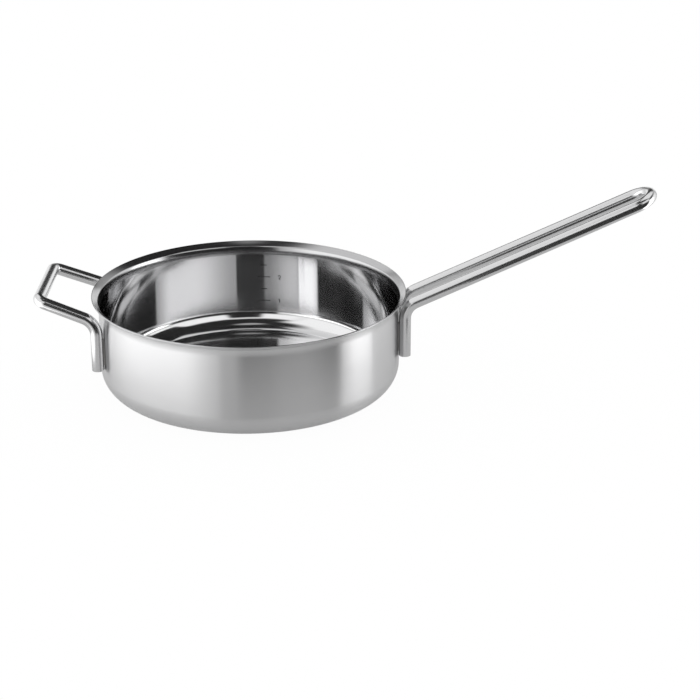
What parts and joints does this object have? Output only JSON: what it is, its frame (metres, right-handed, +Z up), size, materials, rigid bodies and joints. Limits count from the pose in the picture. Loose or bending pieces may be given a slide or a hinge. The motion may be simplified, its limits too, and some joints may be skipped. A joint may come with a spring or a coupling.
{
  "type": "saute pan",
  "caption": "Low straight-sided steel saute pan with a flared pouring lip, a sandwich base, a long looped bar handle and a bar helper handle.",
  "frame": {"origin": "centre of the base's underside, where the pan rests", "axes": "+X along the long handle, +Y across the pan towards the side with the volume marks, +Z up out of the pan"},
  "size_m": [0.4907, 0.253, 0.1659],
  "materials": {
    "vessel_steel": "stainless steel, mirror polished inside and on the lip, satin brushed around the outside",
    "core_aluminium": "plain rolled aluminium, sealed inside the base",
    "base_steel": "magnetic stainless steel, turned in fine rings",
    "bar_steel": "polished stainless steel bar",
    "weld_steel": "cleaned stainless steel weld"
  },
  "bodies": {
    "root": {"pan_body": "vessel_steel", "heat_core": "core_aluminium", "base_cap": "base_steel", "long_handle": "bar_steel", "long_handle_weld_front": "weld_steel", "long_handle_weld_back": "weld_steel", "helper_handle": "bar_steel", "helper_handle_weld_front": "weld_steel", "helper_handle_weld_back": "weld_steel"}
  },
  "joints": []
}
